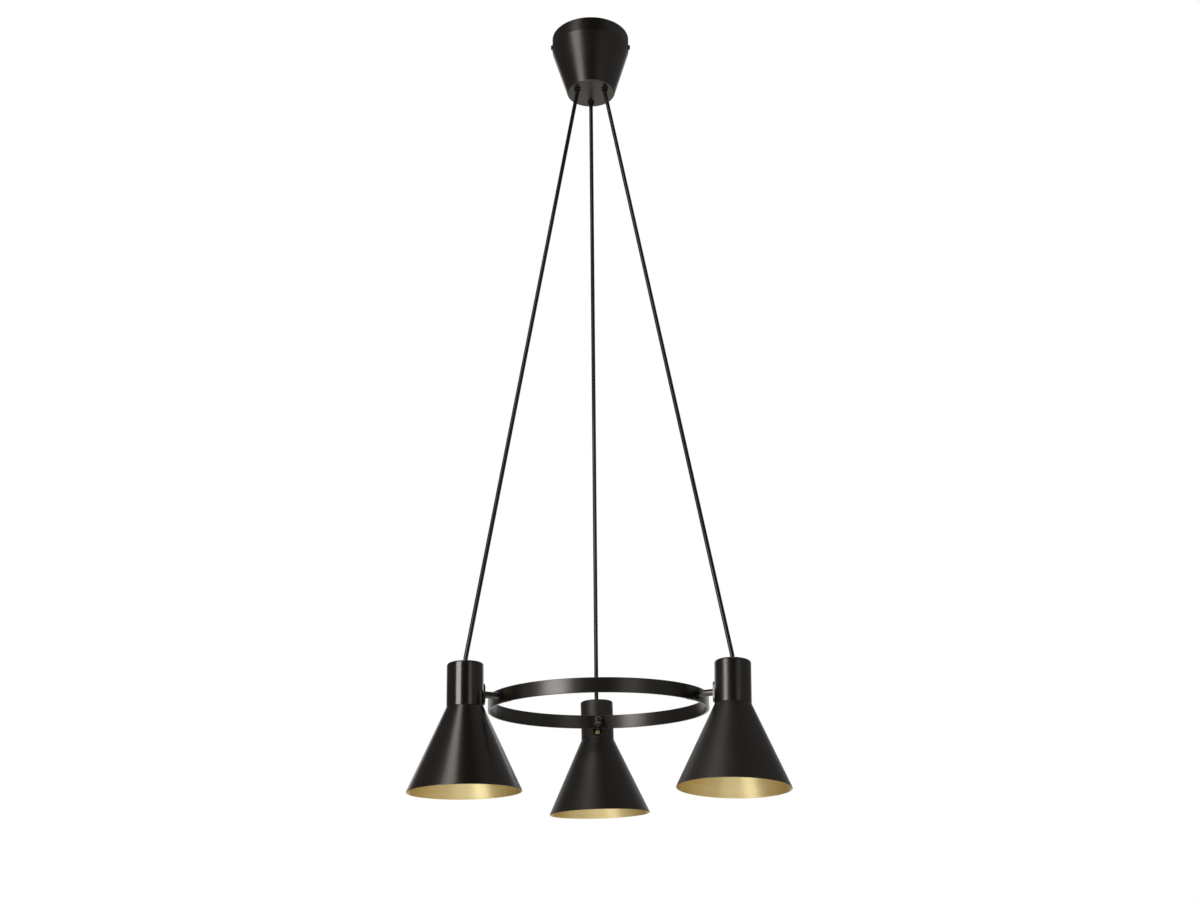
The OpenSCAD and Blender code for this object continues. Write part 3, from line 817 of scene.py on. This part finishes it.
lacquers = {
    "canopy": lacquer("canopy_lacquer", canopy_roughness),
    "ring": lacquer("ring_lacquer", ring_roughness),
}
for side in SIDES:
    axes = shade_frames[side]
    lacquers[side] = lacquer(f"{side}_shade_lacquer", CONE_ROUGHNESS[side], axes)
    lacquers[f"{side}_neck"] = lacquer(f"{side}_neck_lacquer", NECK_ROUGHNESS[side], axes)
    lacquers[f"{side}_stem"] = lacquer(f"{side}_stem_lacquer", stem_roughness, axes @ lengthwise)
print(len(lacquers), "lacquers, each for a piece's own axis and gloss")

# %% [markdown]
# ## Brass
# The linings are bare spun brass, pale and satin, with the lines of the tool around them. Lines that all
# run one way spread a highlight across themselves, which the shader's anisotropy gives. The shells, contacts
# and small screws are of a paler brass, a little smudged and scratched by handling.

# %% Spun brass
DEEP_BRASS = (0.79, 0.615, 0.26)
PALE_BRASS = (0.885, 0.745, 0.40)
spun_spacing = 0.3 * MM
spun_run = 50 * MM
spun_depth = 0.004 * MM
band_spacing = 4 * MM
band_run = 200 * MM
band_depth = 0.012 * MM
tarnish_size = 28 * MM
QUARTER_TURN = 0.25


def spun_brass(name, axes):
    """Satin brass with the tool's lines around the Z axis of a frame."""
    material, start = new_finish(name)
    place = object_place(start, axes)
    fine = lines_around(place, spun_spacing, spun_run) - 0.5
    broad = lines_around(place, band_spacing, band_run) - 0.5
    tarnish = grain(place, tarnish_size) - 0.5
    return finished(material, start, {
        "Base Color": mixed(broad * 1.5 + tarnish + 0.5, DEEP_BRASS, PALE_BRASS),
        "Metallic": 1.0,
        "Roughness": 0.38 + 0.10 * fine + 0.08 * tarnish,
        "Normal": bump(fine * spun_depth + broad * band_depth),
        "Anisotropic": 0.5,
        "Anisotropic Rotation": QUARTER_TURN,
    })


linings_brass = {side: spun_brass(f"{side}_lining_brass", shade_frames[side]) for side in SIDES}
print(len(linings_brass), "linings of spun brass")

# %% Bright brass
SMUDGED_BRASS = (0.80, 0.63, 0.32)
CLEAN_BRASS = (0.90, 0.77, 0.48)
smudge_size = 3 * MM
scratch_size = 0.4 * MM
scratch_depth = 0.004 * MM


def bright_brass(name):
    """The brass of the shells, contacts and screws."""
    material, start = new_finish(name)
    place = object_place(start)
    smudge = grain(place, smudge_size, RICH_DETAIL) - 0.5
    scratch = grain(place, scratch_size) - 0.5
    return finished(material, start, {
        "Base Color": mixed(smudge + 0.5, SMUDGED_BRASS, CLEAN_BRASS),
        "Metallic": 1.0,
        "Roughness": 0.44 + 0.16 * smudge + 0.08 * scratch,
        "Normal": bump(scratch * scratch_depth),
    })


shared_finishes = {"brass": bright_brass("bright_brass")}
print("shared by all small brass pieces:", shared_finishes["brass"].name)

# %% [markdown]
# ## Plastic, sheath and steel
# The holders, grips and glands are moulded black plastic with a fine matt grain. The cords have a smooth PVC
# sheath that pulls a thin grey sheen. The bracket in the cup is zinc-plated steel with its faint spangle,
# and the terminal block is pale plastic. Each is a base colour with its grain at the real scale.

# %% Moulded plastic
PLASTIC_IOR = 1.5
flow_size = 12 * MM


def plastic(name, dark, light, roughness, grain_size, grain_depth):
    """Moulded plastic with a grain and the faint clouds of its flow."""
    material, start = new_finish(name)
    place = object_place(start)
    skin_grain = grain(place, grain_size) - 0.5
    flow = grain(place, flow_size) - 0.5
    return finished(material, start, {
        "Base Color": mixed(flow + skin_grain * 0.6 + 0.5, dark, light),
        "Roughness": roughness + 0.10 * skin_grain + 0.10 * flow,
        "Normal": bump(skin_grain * grain_depth),
        "IOR": PLASTIC_IOR,
    })


shared_finishes["black_plastic"] = plastic(
    "moulded_black", (0.010, 0.010, 0.010), (0.018, 0.0175, 0.017),
    roughness=0.44, grain_size=0.5 * MM, grain_depth=0.008 * MM)
shared_finishes["pale_plastic"] = plastic(
    "pale_plastic", (0.62, 0.59, 0.50), (0.70, 0.67, 0.59),
    roughness=0.45, grain_size=0.6 * MM, grain_depth=0.006 * MM)
shared_finishes["live_sleeve"] = plastic(
    "live_sleeve", (0.10, 0.038, 0.016), (0.13, 0.05, 0.022),
    roughness=0.4, grain_size=0.8 * MM, grain_depth=0.004 * MM)
shared_finishes["neutral_sleeve"] = plastic(
    "neutral_sleeve", (0.02, 0.09, 0.33), (0.03, 0.12, 0.40),
    roughness=0.4, grain_size=0.8 * MM, grain_depth=0.004 * MM)
print("shared so far:", ", ".join(shared_finishes))

# %% Cord sheath
SHEATH_BLACK = (0.0060, 0.0058, 0.0055)
SHEATH_DULLED = (0.0085, 0.0082, 0.0078)
dulled_size = 60 * MM
peel_size = 0.8 * MM
peel_depth = 0.0004 * MM


def sheath(name):
    """Smooth PVC, which a hand or a cloth has dulled here and there along its length."""
    material, start = new_finish(name)
    place = object_place(start)
    dulled = grain(place, dulled_size) - 0.5
    peel = grain(place, peel_size) - 0.5
    return finished(material, start, {
        "Base Color": mixed(dulled + 0.5, SHEATH_BLACK, SHEATH_DULLED),
        "Roughness": 0.20 + 0.05 * dulled,
        "Normal": bump(peel * peel_depth),
        "IOR": PLASTIC_IOR,
        "Specular IOR Level": 0.7,
    })


shared_finishes["cord_black"] = sheath("cord_sheath")
print("the sheath is dulled in patches of about", round(dulled_size / MM), "mm")

# %% Striped sleeve
sleeve_flow_size = 4 * MM
stripe_from = 0.6


def striped_sleeve(name, ground, stripe):
    """A sleeve with a stripe along two of its sides."""
    material, start = new_finish(name)
    side_on = start.node("ShaderNodeNewGeometry", output="Normal")
    across = start.node("ShaderNodeSeparateXYZ", {}, {0: side_on})
    flow = grain(object_place(start), sleeve_flow_size) - 0.5
    return finished(material, start, {
        "Base Color": mixed(across * across > stripe_from, ground, stripe),
        "Roughness": 0.42 + 0.1 * flow,
        "IOR": PLASTIC_IOR,
    })


shared_finishes["earth_sleeve"] = striped_sleeve("earth_sleeve", (0.05, 0.24, 0.05), (0.66, 0.56, 0.04))
print("the earth sleeve's stripes are yellow on green, along two sides")

# %% Zinc-plated steel
DULL_ZINC = (0.52, 0.53, 0.54)
LIGHT_ZINC = (0.68, 0.69, 0.69)
spangle_size = 3 * MM
zinc_scratch_size = 0.8 * MM
zinc_scratch_depth = 0.01 * MM


def zinc(name):
    """Zinc-plated steel with its spangle."""
    material, start = new_finish(name)
    place = object_place(start)
    inputs = {"Vector": place, "Scale": 1 / spangle_size}
    spangle = place.node("ShaderNodeTexVoronoi", {"feature": "F1"}, inputs, "Color")
    shade = spangle.node("ShaderNodeSeparateColor", {}, {0: spangle})
    scratch = grain(place, zinc_scratch_size, RICH_DETAIL) - 0.5
    return finished(material, start, {
        "Base Color": mixed(shade * 0.6 + scratch + 0.2, DULL_ZINC, LIGHT_ZINC),
        "Metallic": 1.0,
        "Roughness": 0.30 + 0.12 * shade + 0.12 * scratch,
        "Normal": bump(scratch * zinc_scratch_depth),
    })


shared_finishes["steel"] = zinc("zinc_steel")
print(len(shared_finishes), "shared finishes in all")

# %% [markdown]
# ## Dressing the lamp
# Now every solid and every new piece gets its finish. A solid's material slot still carries the name of the
# slot in the record, which says what it is made of. Lacquered solids take the lacquer of their own axis, and
# the rest take the shared finish of that name. A new piece is simply given its finish.

# %% Finish of every piece and solid
def lacquer_for(name):
    """The lacquer whose lines run around a solid's own axis."""
    side = name.split("_")[0]
    if side in SIDES:
        return lacquers[f"{side}_neck"] if name.endswith("neck") else lacquers[f"{side}_stem"]
    return lacquers["ring" if name.startswith("ring") else "canopy"]


def dress(piece, material):
    """Gives a new piece its only material."""
    piece.data.materials.clear()
    piece.data.materials.append(material)


for name, solid in nodes.items():
    slot = solid.material_slots[0].material.name.split(".")[0]
    solid.material_slots[0].material = lacquer_for(name) if slot == "lacquer" else shared_finishes[slot]

for side in SIDES:
    dress(skins[side], lacquers[side])
    dress(linings[side], linings_brass[side])
    dress(shells[side], shared_finishes["brass"])
    dress(nuts[side], shared_finishes["black_plastic"])
    dress(dome_nuts[side], lacquers[f"{side}_stem"])
for cord in cords:
    dress(cord, shared_finishes["cord_black"])
for wire in ROWS:
    dress(leads[wire], shared_finishes[f"{wire}_sleeve"])
print(len(nodes), "solids dressed, with", len(cords), "pieces of cord and", len(leads), "sets of leads")

# %% [markdown]
# ## The studio
# The lamp hangs in a white room, and yet its lacquer is dark. Satin black shows mostly what it mirrors, and
# the room on the camera's side is dark. A drape does that here: a large ball around the lamp, open behind,
# and out of the camera's sight. It is not lit but glows with painted light: nearly black in front, a little
# grey at both sides, and pale and warm at its foot, as if the floor lit it there. That painted warm glow at
# the foot gives the brass its colour.
#
# The floor is far below and pale. Most of its white is a glow that only the camera and mirroring surfaces
# see, so that it puts no more light on the lamp.

# %% Floor
floor_z = -3.0
floor_r = 40
floor_sides = 96
floor_glow = 0.66
FLOOR_COLOUR = (0.86, 0.86, 0.85, 1)
WHITE = (1, 1, 1, 1)


def camera_or_mirror(start):
    """One for rays that come from the camera or from a mirroring surface, and nought for the rest."""
    path = start.node("ShaderNodeLightPath", output="Is Camera Ray")
    seen = path.math("MAXIMUM", path, path.other("Is Glossy Ray"))
    return path.math("MAXIMUM", seen, path.other("Is Transmission Ray"))


bpy.ops.object.select_all(action="DESELECT")
bpy.ops.mesh.primitive_circle_add(vertices=floor_sides, radius=floor_r, fill_type="NGON",
                                  location=(0, 0, floor_z))
floor = bpy.context.object
floor.name = "floor"

material, start = new_finish("pale_floor")
matt = start.node("ShaderNodeBsdfDiffuse", {}, {"Color": FLOOR_COLOUR})
white = start.node("ShaderNodeEmission", {}, {"Color": WHITE, "Strength": 1.0})
share = camera_or_mirror(start) * floor_glow
paper = start.node("ShaderNodeMixShader", {}, {0: share, 1: matt, 2: white})
start.node("ShaderNodeOutputMaterial", {}, {"Surface": paper})
dress(floor, material)
print("floor", -floor_z, "m below the ceiling")

# %% Drape
drape_r = 3.5
drape_middle = Vector((0, 0, -0.6))
drape_segments = 96
drape_rings = 48
opening_rise = math.radians(10)
opening_half = math.radians(37)

bpy.ops.object.select_all(action="DESELECT")
bpy.ops.mesh.primitive_uv_sphere_add(segments=drape_segments, ring_count=drape_rings, radius=drape_r,
                                     location=drape_middle)
drape = bpy.context.object
drape.name = "drape"
bpy.ops.object.transform_apply(location=True)

backwards = Vector((0, math.cos(opening_rise), math.sin(opening_rise)))
opening = drape_middle + drape_r * math.cos(opening_half) * backwards
bpy.ops.object.mode_set(mode="EDIT")
bpy.ops.mesh.select_all(action="SELECT")
bpy.ops.mesh.bisect(plane_co=opening, plane_no=backwards, clear_outer=True)
bpy.ops.mesh.select_all(action="SELECT")
bpy.ops.mesh.bisect(plane_co=(0, 0, floor_z), plane_no=(0, 0, 1), clear_inner=True)
bpy.ops.object.mode_set(mode="OBJECT")
drape.visible_camera = False
print("drape open behind from", [round(value, 2) for value in opening])

# %% Painted glow of the drape
# Strengths of the drape's glow: painted light that stands in for the light the cloth would catch.
front_glow = 0.03
right_glow = 0.15
left_glow = 0.07
foot_glow = 0.19
side_from = 0.7
side_to = 2.4
foot_from = -1.3
foot_to = -2.2
NEUTRAL = (1.0, 1.0, 1.0)
WARM_GLOW = (1.0, 0.80, 0.50)


def eased(wire, start, end, high):
    """A value that eases from nought to high while a wire goes from start to end."""
    inputs = {0: wire, 1: start, 2: end, 3: 0.0, 4: high}
    return wire.node("ShaderNodeMapRange", {"interpolation_type": "SMOOTHSTEP"}, inputs)


material, start = new_finish("drape_painted_glow")
across = start.node("ShaderNodeSeparateXYZ", {}, {0: object_place(start)})
# Painted light: the drape glows dim in front, brighter at the sides, and brightest and warm at its foot, as if the
# floor lit it there. It is an emission, in place of lit cloth.
sides = eased(across, side_from, side_to, right_glow) + eased(across, -side_from, -side_to, left_glow)
near_floor = eased(across.other("Z"), foot_from, foot_to, 1.0)
cloth = start.node("ShaderNodeEmission", {}, {
    "Color": mixed(near_floor, NEUTRAL, WARM_GLOW),
    "Strength": front_glow + sides + foot_glow * near_floor,
})
start.node("ShaderNodeOutputMaterial", {}, {"Surface": cloth})
dress(drape, material)
print("drape", front_glow, "in front,", front_glow + foot_glow, "at its foot")

# %% White room
world = bpy.data.worlds.new("white_paper")
world.use_nodes = True
world.node_tree.nodes.clear()
start = Wire(world.node_tree)
room = start.node("ShaderNodeBackground", {}, {"Color": WHITE, "Strength": 1.0})
start.node("ShaderNodeOutputWorld", {}, {"Surface": room})
bpy.context.scene.world = world
print("room:", world.name)

# %% [markdown]
# ## The lights
# A tall soft box at the front left draws the long bright streak down every turned piece. The necks, the
# cones and the cup mirror different heights of it, and their streaks aren't equally bright, so it is made of
# three panes, one above the other. A weak box at the right draws the second streak. Two cool ones low in
# front shine into the shades, and one above lights the tops.
#
# A pane's brightness is what a mirror would show of it. A flat lamp gives its light off to one side only,
# so its watts are that brightness times pi times its area.

# %% Soft boxes
def soft_box(name, place, aim, width, height, watts, colour=(1, 1, 1)):
    """A rectangle of light that faces a point, standing upright."""
    bpy.ops.object.light_add(type="AREA", location=place)
    lamp = bpy.context.object
    lamp.name = name
    lamp.rotation_euler = (Vector(aim) - Vector(place)).to_track_quat("-Z", "Y").to_euler()
    lamp.data.shape = "RECTANGLE"
    lamp.data.size = width
    lamp.data.size_y = height
    lamp.data.energy = watts
    lamp.data.color = colour
    lamp.visible_camera = False
    print("soft box", name, round(watts, 2), "W")


PANES = {
    "low_pane": {"foot": -1.18, "top": -0.60, "brightness": 5.0},
    "middle_pane": {"foot": -0.60, "top": -0.20, "brightness": 1.85},
    "high_pane": {"foot": -0.20, "top": 0.55, "brightness": 2.7},
}
pane_w = 0.38
pane_x = -0.61
pane_y = -0.69
for name, pane in PANES.items():
    pane_z = (pane["foot"] + pane["top"]) / 2
    pane_h = pane["top"] - pane["foot"]
    soft_box(name, place=(pane_x, pane_y, pane_z), aim=(0, 0, pane_z), width=pane_w, height=pane_h,
             watts=pane["brightness"] * math.pi * pane_w * pane_h)

COOL = (0.93, 1.0, 1.16)
soft_box("low", place=(-0.95, -1.13, -2.1), aim=(0, 0, -1.2), width=0.8, height=0.9, watts=2.9, colour=COOL)
soft_box("bounce", place=(-0.1, -1.9, -2.9), aim=(-0.1, -1.2, -1.2), width=2.4, height=1.2, watts=6.5,
         colour=COOL)
soft_box("fill", place=(1.25, -2.1, -0.8), aim=(0, 0, -0.8), width=0.9, height=0.9, watts=1.75)
soft_box("top", place=(0, 0.4, 1.8), aim=(0, 0, 0), width=1.2, height=1.2, watts=4.5)

# %% [markdown]
# ## Finish of the script
# The render keeps its colours as they are, under the standard view transform.

# %% Finish
bpy.context.scene.view_settings.view_transform = "Standard"
